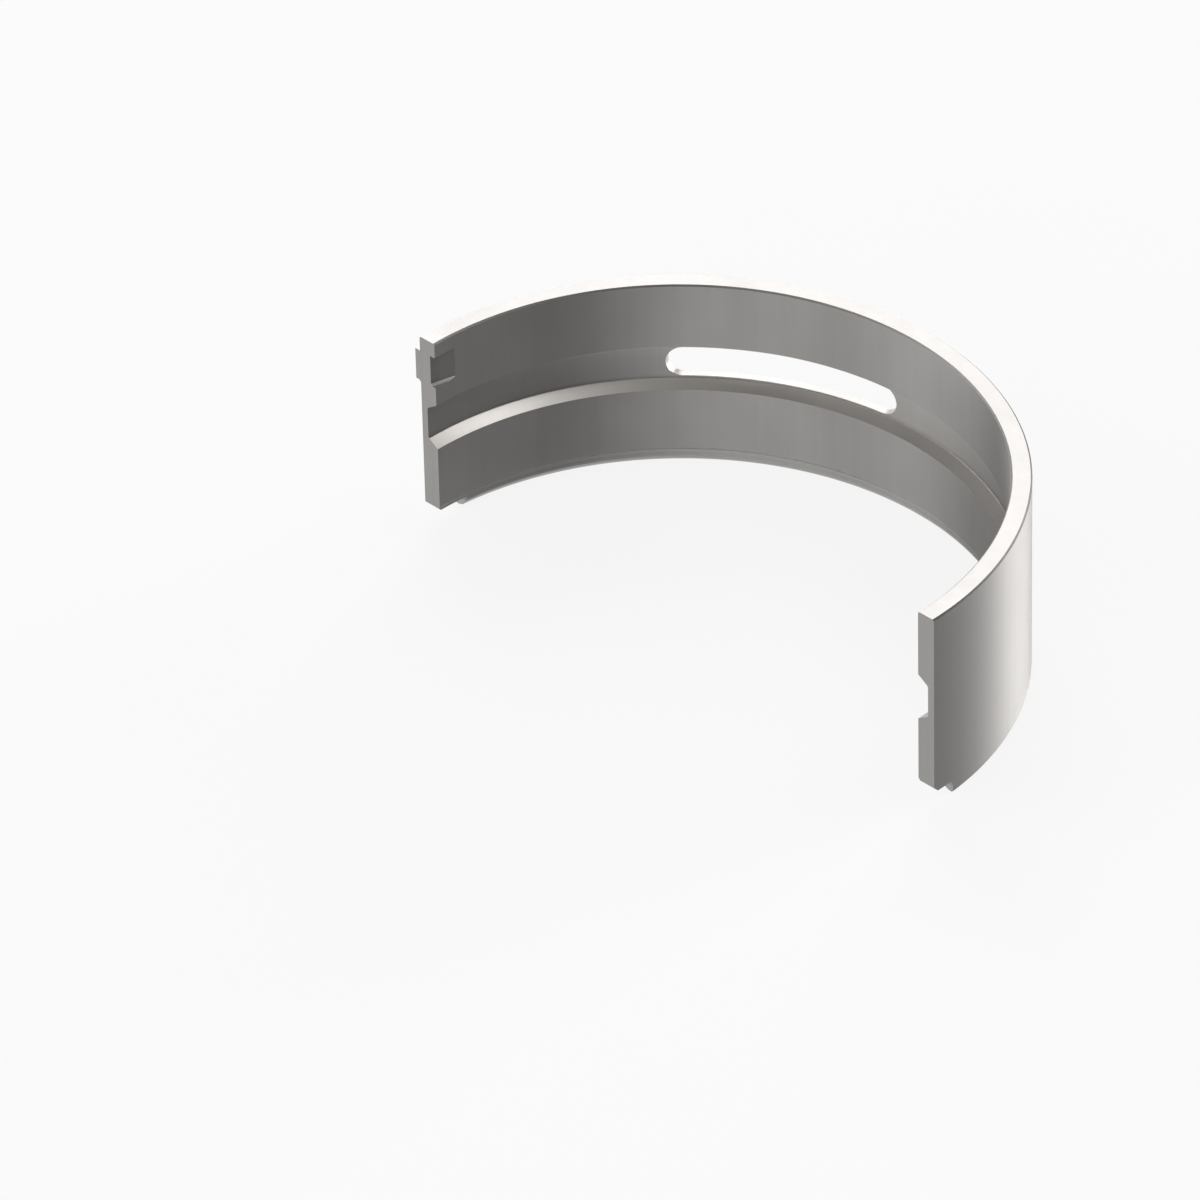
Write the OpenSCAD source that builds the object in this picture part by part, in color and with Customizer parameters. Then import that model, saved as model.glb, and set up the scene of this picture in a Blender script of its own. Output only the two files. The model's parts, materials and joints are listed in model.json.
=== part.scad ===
// Engine bearing shell: the grooved half of a crankshaft main bearing.
// One half-round piece of bearing metal, cut and pressed from a single strip.
// The bearing axis is +Z, and z = 0 is the middle of the oil groove.
// The joint faces lie in the plane y = 0, and the crown of the half round is at +Y.
// The shell stands on its lip, and the locating lug is at the -X joint.

/* [Shell] */
// Outside diameter, which seats in the housing bore
outer_d = 84; // [70:0.5:110]
// Wall thickness
wall = 2.5; // [2.2:0.05:3.5]
// Overall width along the axis, from the plain rim to the end of the lip
width = 26.45; // [22:0.05:36]
// Chamfer along both edges of the plain rim
rim_chamfer = 0.2; // [0.05:0.05:0.5]

/* [Oil groove] */
// Distance from the plain rim to the middle of the groove
groove_from_rim = 12.05; // [10:0.05:15]
// Depth of the groove below the bore
groove_depth = 1.55; // [0.8:0.05:1.9]
// Width of the groove where it opens into the bore
groove_mouth = 6.3; // [5:0.1:8]
// Width of the groove's floor, measured between its sharp corners
groove_floor = 4.3; // [4.2:0.1:5]
// Fillet between the floor and each flank
groove_fillet = 0.45; // [0.1:0.05:0.6]

/* [Oil slot] */
// Width of the slot along the axis
slot_w = 4.1; // [2:0.1:4.3]
// Angle from the crown to the slot's near end
slot_near = 4; // [0:0.2:15]
// Angle from the crown to the slot's far end, towards the lug
slot_far = 45.8; // [25:0.2:60]

/* [Locating lug] */
// Width of the lug along the axis
lug_w = 4.3; // [3:0.1:5]
// Distance from the plain rim to the lug
lug_from_rim = 2.05; // [1:0.05:3]
// Height of the lug above the outside wall, at the joint face
lug_out = 0.8; // [0.4:0.05:1.5]
// Depth of the pressed recess behind the lug, at the joint face
recess_depth = 0.8; // [0.4:0.05:1.1]
// Length over which the lug and its recess run out, away from the joint face
lug_run = 3.15; // [2:0.05:6]
// Bevel along the lower side of the lug
lug_bevel = 0.3; // [0.1:0.05:0.4]
// Fillet along the lower side of the recess
recess_fillet = 0.3; // [0.1:0.05:0.4]

/* [End lip] */
// Height of the lip below the relieved edge
lip_h = 1.8; // [1:0.05:3]
// Radius of the round on the inner side of the lip
lip_round = 1.8; // [0.5:0.05:3]
// Chamfer along the outer edge of the lip
lip_chamfer = 0.2; // [0.05:0.05:0.5]
// Distance from the joint face to the lip at the lug end
lip_gap_lug = 4.8; // [2:0.1:10]
// Distance from the joint face to the lip at the plain end
lip_gap_plain = 3.3; // [2:0.1:10]

/* [Inner edge above the lip] */
// Width of the chamfer at the bore, across the wall
edge_chamfer_w = 0.35; // [0.1:0.05:0.5]
// Height of the chamfer at the bore, along the axis
edge_chamfer_h = 0.4; // [0.1:0.05:0.8]
// Height of the steep shoulder between the chamfer and the relieved edge
shoulder_h = 0.55; // [0.1:0.05:1]
// Slope of the shoulder, as its width across the wall
shoulder_run = 0.15; // [0.05:0.05:0.4]
// Chamfer at the lower corner of each joint face
joint_chamfer = 0.65; // [0.2:0.05:1.2]

/* [Hidden] */
$fn = 180;

// How far a cutting shape reaches past the surface that it cuts
margin = 1;

// Radii from the bearing axis
outer_r = outer_d / 2;
inner_r = outer_r - wall;
groove_r = inner_r + groove_depth;
lip_root_r = inner_r + edge_chamfer_w + shoulder_run;

// Levels along the bearing axis
rim_z = groove_from_rim;
foot_z = rim_z - width;
seat_z = foot_z + lip_h;
lug_top_z = rim_z - lug_from_rim;
lug_bottom_z = lug_top_z - lug_w;

// The lip's round is limited by the lip's own height and thickness
lip_r = min(lip_round, lip_h, outer_r - lip_chamfer - lip_root_r);

// Direction of the slot's middle, and how far its cutter travels between the round ends
slot_angle = 90 + (slot_near + slot_far) / 2;
slot_travel = 2 * groove_r * sin((slot_far - slot_near) / 2) - slot_w;

// Where the lug's slope meets the outside wall, and where it ends inside the wall
lug_end_x = -sqrt(pow(outer_r, 2) - pow(lug_run, 2));
lug_slope = (lug_end_x + outer_r + lug_out) / lug_run;
lug_root_y = lug_run + margin;
lug_angle = asin(lug_root_y / inner_r);

// Where the recess starts at the joint face and where it has run out into the bore
recess_joint_x = -(inner_r + recess_depth);
recess_end_x = -sqrt(pow(inner_r, 2) - pow(lug_run, 2));
recess_slope = atan2(recess_end_x - recess_joint_x, lug_run);

// A corner that a fillet leaves empty: the square at the corner, less the quarter circle
module fillet_corner(r) {
    difference() {
        translate([-margin, -margin]) square(r + margin);
        translate([r, r]) circle(r = r);
    }
}

// Section of the oil groove: a trapezium whose two floor corners are rounded
module groove_section() {
    flank_h = (groove_mouth - groove_floor) / 2;
    flank_angle = atan2(flank_h, groove_depth);
    tangent = groove_fillet * tan((90 - flank_angle) / 2);
    round_end = [groove_r, groove_floor / 2 - tangent];
    round_start = [
        groove_r - tangent * cos(flank_angle),
        groove_floor / 2 + tangent * sin(flank_angle)
    ];
    for (side = [-1, 1])
        translate([groove_r - groove_fillet, side * round_end.y]) circle(r = groove_fillet);
    polygon([
        [inner_r - margin, groove_mouth / 2],
        [inner_r, groove_mouth / 2],
        round_start,
        round_end,
        [round_end.x, -round_end.y],
        [round_start.x, -round_start.y],
        [inner_r, -groove_mouth / 2],
        [inner_r - margin, -groove_mouth / 2]
    ]);
}

// Section of the wall, as radius and height: plain rim at the top, lip at the bottom
module wall_section() {
    difference() {
        polygon([
            [inner_r, rim_z - rim_chamfer],
            [inner_r + rim_chamfer, rim_z],
            [outer_r - rim_chamfer, rim_z],
            [outer_r, rim_z - rim_chamfer],
            [outer_r, foot_z + lip_chamfer],
            [outer_r - lip_chamfer, foot_z],
            [lip_root_r, foot_z],
            [lip_root_r, seat_z],
            [inner_r + edge_chamfer_w, seat_z + shoulder_h],
            [inner_r, seat_z + shoulder_h + edge_chamfer_h]
        ]);
        groove_section();
        translate([lip_root_r, foot_z]) fillet_corner(lip_r);
    }
}

// The oil slot, milled straight through the groove's floor with a cutter as wide as the slot
module oil_slot() {
    rotate([0, 0, slot_angle]) rotate([90, 0, 90]) linear_extrude(outer_r + margin) {
        for (side = [-1, 1]) translate([side * slot_travel / 2, 0]) circle(d = slot_w);
        square([slot_travel, slot_w], center = true);
    }
}

// Section of the lug, rooted in the wall, with the bevel on its lower side
module lug_section() {
    root = wall / 4;
    polygon([
        [outer_r - root, lug_bottom_z - lug_bevel - root],
        [outer_r + lug_bevel, lug_bottom_z],
        [outer_r + lug_out + margin, lug_bottom_z],
        [outer_r + lug_out + margin, lug_top_z],
        [outer_r - root, lug_top_z]
    ]);
}

// The lug is pressed out of the wall at the joint face and slopes back into it
module locating_lug() {
    crest_x = -(outer_r + lug_out);
    intersection() {
        rotate([0, 0, 180 - lug_angle]) rotate_extrude(angle = lug_angle) lug_section();
        translate([0, 0, foot_z]) linear_extrude(width) polygon([
            [crest_x, 0],
            [crest_x + lug_slope * lug_root_y, lug_root_y],
            [-inner_r, lug_root_y],
            [-inner_r, 0]
        ]);
    }
}

// The recess that the press tool leaves in the bore, with its floor sloping out to the bore
module lug_recess() {
    reach_in = recess_depth + margin;
    translate([recess_joint_x, 0, 0]) rotate([0, 0, -recess_slope])
        translate([0, lug_run + margin, 0]) rotate([90, 0, 0])
            linear_extrude(lug_run + 2 * margin) difference() {
                translate([0, lug_bottom_z]) square([reach_in, lug_w]);
                translate([0, lug_bottom_z]) fillet_corner(recess_fillet);
            }
}

// Clears the lip away beside the +X joint face and chamfers the joint face's lower corner
module end_relief(lip_gap) {
    rotate([90, 0, 90]) linear_extrude(outer_r + lug_out + margin) polygon([
        [-margin, foot_z - margin],
        [lip_gap, foot_z - margin],
        [lip_gap, seat_z],
        [joint_chamfer, seat_z],
        [-margin, seat_z + joint_chamfer + margin]
    ]);
}

module bearing_shell() {
    color("#93928f") difference() {
        union() {
            rotate_extrude(angle = 180) wall_section();
            locating_lug();
        }
        oil_slot();
        lug_recess();
        end_relief(lip_gap_plain);
        mirror([1, 0, 0]) end_relief(lip_gap_lug);
    }
}

bearing_shell();
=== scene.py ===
import json
import math

import bmesh
import bpy
from mathutils import Matrix, Vector


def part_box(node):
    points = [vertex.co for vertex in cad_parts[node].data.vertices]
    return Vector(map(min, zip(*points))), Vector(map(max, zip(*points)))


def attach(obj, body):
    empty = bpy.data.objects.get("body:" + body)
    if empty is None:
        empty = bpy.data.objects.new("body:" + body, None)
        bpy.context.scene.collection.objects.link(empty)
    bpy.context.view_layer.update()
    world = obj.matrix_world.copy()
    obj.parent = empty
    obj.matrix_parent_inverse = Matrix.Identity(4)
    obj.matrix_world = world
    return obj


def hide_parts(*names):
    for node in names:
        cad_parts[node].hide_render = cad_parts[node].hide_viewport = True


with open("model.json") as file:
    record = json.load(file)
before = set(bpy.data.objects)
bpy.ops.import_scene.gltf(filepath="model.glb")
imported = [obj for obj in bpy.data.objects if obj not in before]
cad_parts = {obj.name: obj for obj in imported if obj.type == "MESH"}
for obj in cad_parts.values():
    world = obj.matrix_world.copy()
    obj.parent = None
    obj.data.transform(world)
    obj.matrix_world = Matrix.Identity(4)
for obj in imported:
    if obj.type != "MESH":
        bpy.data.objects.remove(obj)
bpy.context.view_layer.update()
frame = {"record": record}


# Bent wall
# Main bearing shells start as a flat strip of steel with a thin bearing lining on one side.
# The strip is bent to a half round, and its bore, oil groove, rims and lip are then turned.
MM = 0.001
shell_low, shell_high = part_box("bearing_shell")
mounts = {mount["name"]: mount for mount in frame["record"]["mounts"]}
outer_r = shell_high[0]
inner_r = mounts["journal_bore"]["dims"]["r_mm"] * MM
rim_z = shell_high[2]
foot_z = shell_low[2]
rim_chamfer = 0.2 * MM
groove_depth = 1.55 * MM
groove_mouth = 6.3 * MM
groove_floor = 4.3 * MM
groove_round = 0.25 * MM
groove_round_steps = 8
lip_height = 1.8 * MM
lip_chamfer = 0.2 * MM
lip_round = 1.75 * MM
lip_round_steps = 14
shoulder_run = 0.15 * MM
shoulder_rise = 0.55 * MM
bore_edge_run = 0.35 * MM
bore_edge_rise = 0.4 * MM
wall_steps = 300
lip_root_r = inner_r + bore_edge_run + shoulder_run
seat_z = foot_z + lip_height


def flat_face(bm, corners):
    return bm.faces.new([bm.verts.new(corner) for corner in corners])


def round_corners(bm, corners, reach, steps):
    bmesh.ops.bevel(
        bm, geom=corners, offset=reach, offset_type="OFFSET", affect="VERTICES",
        segments=steps, profile=0.5, material=-1, clamp_overlap=True,
    )


def finished_piece(name, bm):
    bmesh.ops.recalc_face_normals(bm, faces=bm.faces)
    mesh = bpy.data.meshes.new(name)
    bm.to_mesh(mesh)
    bm.free()
    piece = bpy.data.objects.new(name, mesh)
    bpy.context.collection.objects.link(piece)
    return piece


# The wall's section, as radius and height, from the inner edge of the rim round to the groove.
wall_bm = bmesh.new()
wall_corners = {
    "rim_inner_low": (inner_r, rim_z - rim_chamfer),
    "rim_inner": (inner_r + rim_chamfer, rim_z),
    "rim_outer": (outer_r - rim_chamfer, rim_z),
    "rim_outer_low": (outer_r, rim_z - rim_chamfer),
    "lip_outer_high": (outer_r, foot_z + lip_chamfer),
    "lip_outer": (outer_r - lip_chamfer, foot_z),
    "lip_inner": (lip_root_r, foot_z),
    "seat": (lip_root_r, seat_z),
    "shoulder": (lip_root_r - shoulder_run, seat_z + shoulder_rise),
    "bore_low": (inner_r, seat_z + shoulder_rise + bore_edge_rise),
    "groove_mouth_low": (inner_r, -groove_mouth / 2),
    "groove_floor_low": (inner_r + groove_depth, -groove_floor / 2),
    "groove_floor_high": (inner_r + groove_depth, groove_floor / 2),
    "groove_mouth_high": (inner_r, groove_mouth / 2),
}
section = flat_face(wall_bm, [(r, 0, z) for r, z in wall_corners.values()])
corner_of = dict(zip(wall_corners, section.verts))
floor_corners = [corner_of["groove_floor_low"], corner_of["groove_floor_high"]]
lip_corner = [corner_of["lip_inner"]]
round_corners(wall_bm, floor_corners, groove_round, groove_round_steps)
round_corners(wall_bm, lip_corner, lip_round, lip_round_steps)
bmesh.ops.spin(
    wall_bm, geom=wall_bm.faces[:] + wall_bm.edges[:] + wall_bm.verts[:],
    cent=(0, 0, 0), axis=(0, 0, 1), angle=math.pi, steps=wall_steps,
)
shell = finished_piece("half_shell", wall_bm)


# Locating lug
# The lug is pressed out of the wall at one joint face, so that the shell can't turn in its housing.
# The press tool leaves a recess of the same length and width in the bore behind it.
lug_out = -shell_low[0] - outer_r
lug_below_rim = 2.05 * MM
lug_height = 4.3 * MM
lug_top_z = rim_z - lug_below_rim
lug_bottom_z = lug_top_z - lug_height
lug_run = 3.15 * MM
lug_bevel = 0.3 * MM
lug_root = 0.6 * MM
recess_depth = 0.8 * MM
recess_fillet = 0.3 * MM
recess_fillet_steps = 12
# A shaping tool reaches this far past the surface that it works on.
past_surface = 1 * MM


def extrude_face(bm, face, along):
    grown = bmesh.ops.extrude_face_region(bm, geom=[face])["geom"]
    moved = [item for item in grown if isinstance(item, bmesh.types.BMVert)]
    bmesh.ops.translate(bm, vec=along, verts=moved)


# The tool is joined to the piece or cut from it, and is then removed.
def apply_tool(piece, tool, operation):
    step = piece.modifiers.new(tool.name, "BOOLEAN")
    step.operation = operation
    step.solver = "EXACT"
    step.object = tool
    evaluated = piece.evaluated_get(bpy.context.evaluated_depsgraph_get())
    worked = bpy.data.meshes.new_from_object(evaluated)
    piece.modifiers.clear()
    blank = piece.data
    piece.data = worked
    worked.name = blank.name
    bpy.data.meshes.remove(blank)
    tool_mesh = tool.data
    bpy.data.objects.remove(tool)
    bpy.data.meshes.remove(tool_mesh)


lug_bm = bmesh.new()
lug_section = flat_face(lug_bm, [
    (-(outer_r - lug_root), 0, lug_bottom_z - lug_bevel - lug_root),
    (-(outer_r + lug_bevel), 0, lug_bottom_z),
    (-(outer_r + lug_out), 0, lug_bottom_z),
    (-(outer_r + lug_out), 0, lug_top_z),
    (-(outer_r - lug_root), 0, lug_top_z),
])
extrude_face(lug_bm, lug_section, (0, lug_run + past_surface, 0))
# The lug's outer side slopes back until it meets the wall.
lug_end_x = -math.sqrt(outer_r ** 2 - lug_run ** 2)
lug_slope = Vector((lug_end_x + outer_r + lug_out, lug_run, 0))
sloped = bmesh.ops.bisect_plane(
    lug_bm, geom=lug_bm.faces[:] + lug_bm.edges[:] + lug_bm.verts[:],
    plane_co=(-(outer_r + lug_out), 0, 0), plane_no=(-lug_slope.y, lug_slope.x, 0),
    clear_outer=True,
)
cut_edges = [item for item in sloped["geom_cut"] if isinstance(item, bmesh.types.BMEdge)]
bmesh.ops.holes_fill(lug_bm, edges=cut_edges)
apply_tool(shell, finished_piece("lug", lug_bm), "UNION")

# The recess is deepest at the joint face, and its floor runs out into the bore.
recess_bm = bmesh.new()
recess_joint_x = -(inner_r + recess_depth)
recess_end_x = -math.sqrt(inner_r ** 2 - lug_run ** 2)
recess_section = flat_face(recess_bm, [
    (0, -past_surface, lug_bottom_z),
    (recess_depth + past_surface, -past_surface, lug_bottom_z),
    (recess_depth + past_surface, -past_surface, lug_top_z),
    (0, -past_surface, lug_top_z),
])
round_corners(recess_bm, [recess_section.verts[0]], recess_fillet, recess_fillet_steps)
extrude_face(recess_bm, recess_bm.faces[:][0], (0, lug_run + 2 * past_surface, 0))
recess_turn = -math.atan2(recess_end_x - recess_joint_x, lug_run)
bmesh.ops.transform(
    recess_bm, verts=recess_bm.verts[:],
    matrix=Matrix.Translation((recess_joint_x, 0, 0)) @ Matrix.Rotation(recess_turn, 4, "Z"),
)
apply_tool(shell, finished_piece("lug_recess", recess_bm), "DIFFERENCE")


# Oil slot
# The slot passes oil from the housing's gallery into the groove.
# It is milled straight through the groove's floor with a cutter as wide as the slot.
slot_width = 4.1 * MM
slot_end_steps = 16
# The slot's ends are given as angles from the crown of the shell, towards the lug.
crown = math.radians(90)
slot_near = math.radians(4)
slot_far = math.radians(45.8)
slot_middle = crown + (slot_near + slot_far) / 2
slot_half = (inner_r + groove_depth) * math.sin((slot_far - slot_near) / 2)
# The two rounded corners of an end stop a hair apart, so that they don't meet in one point.
hair = 0.01 * MM
slot_round = slot_width / 2 - hair / 2

slot_bm = bmesh.new()
slot_outline = flat_face(slot_bm, [
    (0, -slot_half, -slot_width / 2),
    (0, slot_half, -slot_width / 2),
    (0, slot_half, slot_width / 2),
    (0, -slot_half, slot_width / 2),
])
round_corners(slot_bm, slot_outline.verts[:], slot_round, slot_end_steps)
extrude_face(slot_bm, slot_bm.faces[:][0], (outer_r + past_surface, 0, 0))
bmesh.ops.rotate(
    slot_bm, verts=slot_bm.verts[:], cent=(0, 0, 0), matrix=Matrix.Rotation(slot_middle, 3, "Z"),
)
apply_tool(shell, finished_piece("slot_cutter", slot_bm), "DIFFERENCE")


# Joint ends
# Both joint faces are cut flat to the plane of the bearing axis, where the other half meets them.
# The lip stops short of them, and a chamfer breaks the lower corner of each joint face.
lip_gap_plain = 3.3 * MM
lip_gap_lug = 4.8 * MM
joint_chamfer = 0.65 * MM
# Edges that turn by more than this are drawn sharp.
sharp_angle = math.radians(9)

for side, lip_gap in ((1, lip_gap_plain), (-1, lip_gap_lug)):
    relief_bm = bmesh.new()
    relief = flat_face(relief_bm, [
        (0, -past_surface, foot_z - past_surface),
        (0, lip_gap, foot_z - past_surface),
        (0, lip_gap, seat_z),
        (0, joint_chamfer, seat_z),
        (0, -past_surface, seat_z + joint_chamfer + past_surface),
    ])
    extrude_face(relief_bm, relief, (side * (outer_r + lug_out + past_surface), 0, 0))
    apply_tool(shell, finished_piece("end_relief", relief_bm), "DIFFERENCE")

shell.data.shade_smooth()
shell.data.set_sharp_from_angle(angle=sharp_angle)


# Bearing metal
# Steel and lining look like one satin grey metal, and each face keeps the finish of the tool that made it.
# The bore and the back are finely turned, and the rim and the joint faces are cut smooth.
# To the eye it is an even grey with soft highlights and faint streaks along the axis.
def linear(hex_colour):
    channels = [int(hex_colour[i:i + 2], 16) / 255 for i in (1, 3, 5)]
    return [c / 12.92 if c <= 0.04045 else ((c + 0.055) / 1.055) ** 2.4 for c in channels] + [1]


def add_node(tree, kind, settings=None, links=None):
    node = tree.nodes.new(kind)
    for name, value in (settings or {}).items():
        if isinstance(name, int) or name in node.inputs:
            node.inputs[name].default_value = value
        else:
            setattr(node, name, value)
    for name, socket in (links or {}).items():
        tree.links.new(socket, node.inputs[name])
    return node


# A pattern's scale comes from the size of one mark: round the shell, outwards and along the axis.
def scale_for(around, outwards, along):
    return (1 / around, 1 / outwards, 1 / along)


streak_scale = scale_for(1.0 * MM, 1.0 * MM, 40 * MM)
cloud_scale = scale_for(9 * MM, 9 * MM, 9 * MM)
# A noise lies mostly between the first two values, and the sum of two noises between the next two.
noise_low = 0.3
noise_high = 0.7
blend_low = 0.7
blend_high = 1.3
roughness_play = 0.03


# The patterns lie on the wall as if it were unrolled.
def bearing_metal(name, shades, roughness, mark_scale, mark_height):
    metal = bpy.data.materials.new(name)
    metal.use_nodes = True
    tree = metal.node_tree
    tree.nodes.clear()
    spot = add_node(tree, "ShaderNodeTexCoord")
    axes = add_node(tree, "ShaderNodeSeparateXYZ", {}, {"Vector": spot.outputs["Object"]})
    angle = add_node(tree, "ShaderNodeMath", {"operation": "ARCTAN2"}, {
        0: axes.outputs["Y"], 1: axes.outputs["X"],
    })
    arc = add_node(tree, "ShaderNodeMath", {"operation": "MULTIPLY", 1: inner_r}, {0: angle.outputs[0]})
    level = add_node(tree, "ShaderNodeVectorMath", {"operation": "MULTIPLY", 1: (1, 1, 0)}, {
        0: spot.outputs["Object"],
    })
    radius = add_node(tree, "ShaderNodeVectorMath", {"operation": "LENGTH"}, {0: level.outputs["Vector"]})
    unrolled = add_node(tree, "ShaderNodeCombineXYZ", {}, {
        "X": arc.outputs[0], "Y": radius.outputs["Value"], "Z": axes.outputs["Z"],
    })
    patterns = {}
    for pattern, scale in (("streaks", streak_scale), ("clouds", cloud_scale), ("marks", mark_scale)):
        sized = add_node(tree, "ShaderNodeMapping", {"Scale": scale}, {
            "Vector": unrolled.outputs["Vector"],
        })
        noise = add_node(tree, "ShaderNodeTexNoise", {"Scale": 1.0, "Detail": 2.0}, {
            "Vector": sized.outputs["Vector"],
        })
        patterns[pattern] = noise.outputs["Fac"]
    blend = add_node(tree, "ShaderNodeMath", {"operation": "ADD"}, {
        0: patterns["streaks"], 1: patterns["clouds"],
    })
    tone = add_node(tree, "ShaderNodeMapRange", {"From Min": blend_low, "From Max": blend_high}, {
        "Value": blend.outputs[0],
    })
    colour = add_node(tree, "ShaderNodeMix", {
        "data_type": "RGBA", "A": linear(shades[0]), "B": linear(shades[1]),
    }, {"Factor": tone.outputs["Result"]})
    wear = add_node(tree, "ShaderNodeMapRange", {
        "From Min": noise_low, "From Max": noise_high,
        "To Min": roughness - roughness_play, "To Max": roughness + roughness_play,
    }, {"Value": patterns["clouds"]})
    relief = add_node(tree, "ShaderNodeBump", {"Strength": 1.0, "Distance": mark_height}, {
        "Height": patterns["marks"],
    })
    surface = add_node(tree, "ShaderNodeBsdfPrincipled", {"Metallic": 1.0}, {
        "Base Color": colour.outputs["Result"],
        "Roughness": wear.outputs["Result"],
        "Normal": relief.outputs["Normal"],
    })
    add_node(tree, "ShaderNodeOutputMaterial", {}, {"Surface": surface.outputs["BSDF"]})
    return metal


# Turned faces spread each highlight along the axis, because the tool's marks run round the shell.
# The marks are about 0.1 mm apart, and drawn three times as coarse to be seen.
turned_marks = scale_for(30 * MM, 0.3 * MM, 0.3 * MM)
turned_mark_height = 0.003 * MM
turned_roughness = 0.6
highlight_spread = 0.9


def turned_metal(name, shades):
    metal = bearing_metal(name, shades, turned_roughness, turned_marks, turned_mark_height)
    surface = metal.node_tree.nodes["Principled BSDF"]
    surface.inputs["Anisotropic"].default_value = highlight_spread
    # The direction is a link, because the Tangent socket has no value of its own.
    along_axis = add_node(metal.node_tree, "ShaderNodeCombineXYZ", {"Z": 1.0})
    metal.node_tree.links.new(along_axis.outputs["Vector"], surface.inputs["Tangent"])
    return metal


# The other faces have an even fine grain without a direction, drawn coarser than the real one to show.
fine_grain = scale_for(0.25 * MM, 0.25 * MM, 0.25 * MM)
cut_grain = {"roughness": 0.31, "mark_scale": fine_grain, "mark_height": 0.0012 * MM}
stoned_grain = {"roughness": 0.5, "mark_scale": fine_grain, "mark_height": 0.002 * MM}
dull_grain = {"roughness": 0.55, "mark_scale": fine_grain, "mark_height": 0.002 * MM}

# The floor of the lug's recess gets a little darker colour as painted shade, and the groove's floor a
# little lighter one as painted light.
# The groove's flanks, the slot's walls and the sides of the recess get a lighter copy as painted light,
# and the outer edges a darker, rougher one as painted shade.
satin_shades = ("#959391", "#999795")
painted_shade_recess_colours = ("#8a8886", "#8e8c8a")
painted_light_groove_colours = ("#989694", "#9c9a98")
painted_light_colours = ("#c9c5c1", "#cdc9c5")
painted_shade_edge_colours = ("#5f5e5d", "#646362")
finishes = {
    "turned": turned_metal("turned_bearing_metal", satin_shades),
    "pressed": turned_metal("recess_painted_shade_metal", painted_shade_recess_colours),
    "groove": turned_metal("groove_painted_light_metal", painted_light_groove_colours),
    "cut": bearing_metal("cut_bearing_metal", satin_shades, **cut_grain),
    "stoned": bearing_metal("stoned_bearing_metal", satin_shades, **stoned_grain),
    "flank": bearing_metal("flank_painted_light_metal", painted_light_colours, **cut_grain),
    "bright": bearing_metal("painted_light_bearing_metal", painted_light_colours, **stoned_grain),
    "dull": bearing_metal("dull_painted_shade_metal", painted_shade_edge_colours, **dull_grain),
}

# A face's up_share is 1 where it is level and 0 where it is upright.
# Its radius_share is 1 where it faces the axis and 0 where it lies along a radius.
upright_limit = 0.3
edge_low = 0.5
edge_high = 0.9
groove_floor_limit = 0.75
groove_flank_limit = 0.5
recess_floor_limit = 0.05


def finish_of(face):
    x, y, z = face.center
    spot_r = math.hypot(x, y)
    up_share = abs(face.normal.z)
    radius_share = abs(face.normal.x * x + face.normal.y * y) / spot_r
    in_wall = inner_r + hair < spot_r < outer_r - hair
    by_lug = x < 0 and y < lug_run and lug_bottom_z - hair < z < lug_top_z + hair
    is_edge = edge_low < up_share < edge_high
    if y <= hair:
        return "cut"
    if in_wall and abs(z) < groove_mouth / 2:
        # The groove's floor gets a lighter colour as painted light, and its flanks and the slot's walls a
        # lighter copy of the metal as painted light.
        if radius_share > groove_floor_limit:
            return "groove"
        return "flank" if radius_share > groove_flank_limit else "bright"
    if in_wall and by_lug:
        # The recess floor gets a darker colour as painted shade, and its sides a lighter copy of the metal
        # as painted light.
        return "pressed" if up_share < recess_floor_limit else "bright"
    if is_edge and z > rim_z - rim_chamfer and spot_r < inner_r + rim_chamfer:
        return "stoned"
    # The outer edges get a dark colour as painted shade, with a rougher grain than the cut faces.
    if is_edge and spot_r > outer_r - rim_chamfer:
        return "dull"
    return "turned" if up_share < upright_limit else "cut"


shell.data.materials.clear()
for metal in finishes.values():
    shell.data.materials.append(metal)
finish_names = list(finishes)
for face in shell.data.polygons:
    face.material_index = finish_names.index(finish_of(face))
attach(shell, "root")
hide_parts("bearing_shell")


# Studio floor
# A seamless sheet of matt white card, large enough to fill the view from any side.
# The shell stands on its lip on this card, which catches a soft shadow.
floor_half = 4.0
floor_bm = bmesh.new()
bmesh.ops.create_grid(floor_bm, x_segments=1, y_segments=1, size=floor_half)
bmesh.ops.translate(floor_bm, vec=(0, 0, foot_z), verts=floor_bm.verts[:])
floor = finished_piece("floor", floor_bm)
card = bpy.data.materials.new("matt_white_card")
card.use_nodes = True
card_tree = card.node_tree
card_surface = card_tree.nodes["Principled BSDF"]
card_surface.inputs["Base Color"].default_value = linear("#f4f4f4")
card_surface.inputs["Roughness"].default_value = 0.9
card_surface.inputs["Specular IOR Level"].default_value = 0.0
# Much of what is seen of the card, directly or in the metal, is plain white, so that its shadow is pale.
white_share = 0.85
white = add_node(card_tree, "ShaderNodeEmission", {"Color": linear("#ffffff"), "Strength": 1.0})
ray = add_node(card_tree, "ShaderNodeLightPath")
seen = add_node(card_tree, "ShaderNodeMath", {"operation": "MAXIMUM"}, {
    0: ray.outputs["Is Camera Ray"], 1: ray.outputs["Is Glossy Ray"],
})
seen_through = add_node(card_tree, "ShaderNodeMath", {"operation": "MAXIMUM"}, {
    0: seen.outputs[0], 1: ray.outputs["Is Transmission Ray"],
})
share = add_node(card_tree, "ShaderNodeMath", {"operation": "MULTIPLY", 1: white_share}, {
    0: seen_through.outputs[0],
})
card_mix = add_node(card_tree, "ShaderNodeMixShader", {}, {
    0: share.outputs[0], 1: card_surface.outputs["BSDF"], 2: white.outputs["Emission"],
})
card_tree.links.new(card_mix.outputs[0], card_tree.nodes["Material Output"].inputs["Surface"])
floor.data.materials.append(card)


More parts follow.
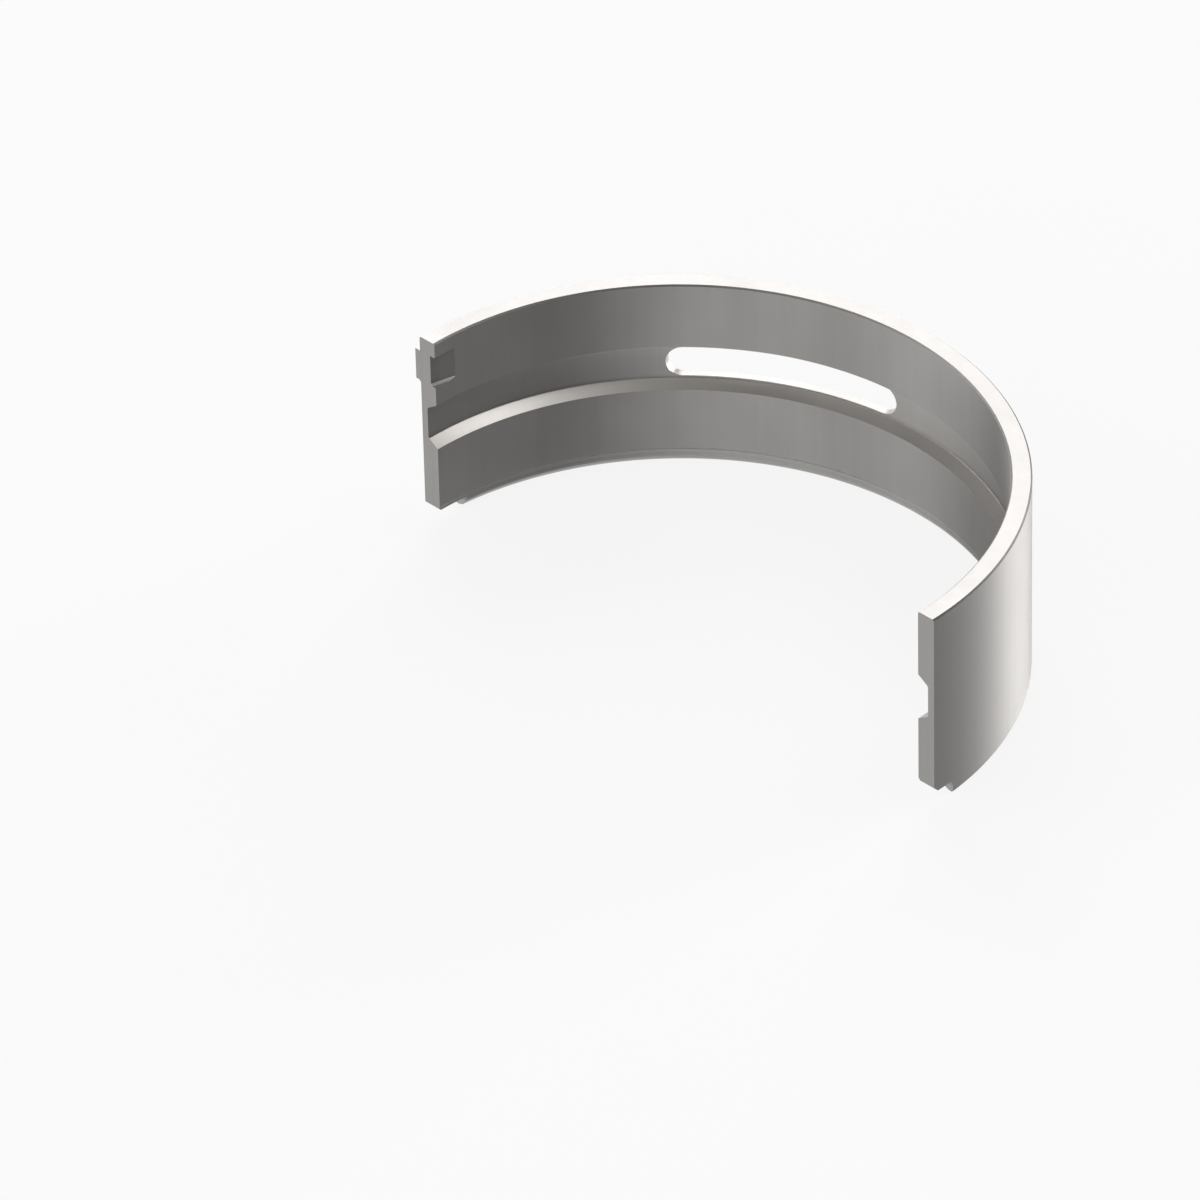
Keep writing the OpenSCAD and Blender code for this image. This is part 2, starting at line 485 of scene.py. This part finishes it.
# Studio light
# Soft boxes stand round the shell, all at one distance, and a dim room fills in between them.
# Each box is a plain white rectangle, and at a radiance of 1 it would look white in a mirror.
room_strength = 0.02
box_distance = 1.2
room = bpy.data.worlds.new("grey_room")
bpy.context.scene.world = room
room.use_nodes = True
room.node_tree.nodes["Background"].inputs["Color"].default_value = linear("#ffffff")
room.node_tree.nodes["Background"].inputs["Strength"].default_value = room_strength


# Angles are in degrees, and sizes in metres.
def soft_box(name, azimuth, elevation, width, height, radiance):
    lamp = bpy.data.lights.new(name, "AREA")
    lamp.shape = "RECTANGLE"
    lamp.size = width
    lamp.size_y = height
    lamp.energy = radiance * math.pi * width * height
    box = bpy.data.objects.new(name, lamp)
    away = Vector((
        math.cos(math.radians(elevation)) * math.cos(math.radians(azimuth)),
        math.cos(math.radians(elevation)) * math.sin(math.radians(azimuth)),
        math.sin(math.radians(elevation)),
    ))
    box.location = away * box_distance
    box.rotation_euler = away.to_track_quat("Z", "Y").to_euler()
    box.visible_camera = False
    bpy.context.collection.objects.link(box)


# Low behind the shell, for the bright stripe on its back.
soft_box("corner", azimuth=54, elevation=9, width=0.2, height=0.4, radiance=2.5)
soft_box("back_right", azimuth=70, elevation=6, width=0.26, height=0.45, radiance=15.3)
soft_box("back_left", azimuth=82, elevation=6, width=0.26, height=0.45, radiance=17.0)
# High up, for the rim and for the flank of the groove.
soft_box("rim", azimuth=134, elevation=37, width=0.95, height=0.6, radiance=3.85)
soft_box("groove", azimuth=50, elevation=54, width=0.5, height=0.5, radiance=1.65)
soft_box("groove_high", azimuth=34, elevation=66, width=0.45, height=0.45, radiance=0.69)
soft_box("top", azimuth=0, elevation=79, width=0.65, height=0.65, radiance=0.32)
# Low in front and at both sides, for the bore and the joint faces.
soft_box("left", azimuth=168, elevation=8, width=0.65, height=0.35, radiance=1.8)
soft_box("front_left", azimuth=223, elevation=9, width=1.3, height=0.55, radiance=4.9)
soft_box("front_right", azimuth=286, elevation=9, width=1.3, height=0.55, radiance=4.8)
soft_box("right", azimuth=325, elevation=10, width=0.5, height=0.5, radiance=2.1)
soft_box("side", azimuth=15, elevation=8, width=0.5, height=0.4, radiance=0.8)
# Large and weak above the front, to lift the shade.
soft_box("ceiling", azimuth=215, elevation=50, width=1.7, height=1.3, radiance=0.22)


# Camera
# A long lens from the front right and above, turned and rolled as in the photograph.
# Its place was fitted to the shell's edges, so that the outline falls where the photograph has it.
azimuth = math.radians(45.62)
elevation = math.radians(35.75)
roll = math.radians(-1.395)
distance = 1268.2 * MM
aim = Vector((-4.546, -7.725, -4.028)) * MM
sensor = 36.0
focal_pixels = 10820.0
frame_pixels = 1200
view_reach = 20.0

lens = bpy.data.cameras.new("photo_camera")
lens.sensor_width = sensor
lens.lens = focal_pixels / frame_pixels * sensor
lens.clip_end = view_reach
camera = bpy.data.objects.new("photo_camera", lens)
bpy.context.collection.objects.link(camera)
towards = Vector((
    -math.sin(azimuth) * math.cos(elevation),
    math.cos(azimuth) * math.cos(elevation),
    -math.sin(elevation),
))
level = Vector((math.cos(azimuth), math.sin(azimuth), 0))
upright = level.cross(towards)
right = level * math.cos(roll) + upright * math.sin(roll)
up = upright * math.cos(roll) - level * math.sin(roll)
place = Matrix((right, up, -towards)).transposed().to_4x4()
place.translation = aim - towards * distance
camera.matrix_world = place
bpy.context.scene.camera = camera
bpy.context.scene.view_settings.view_transform = "Standard"
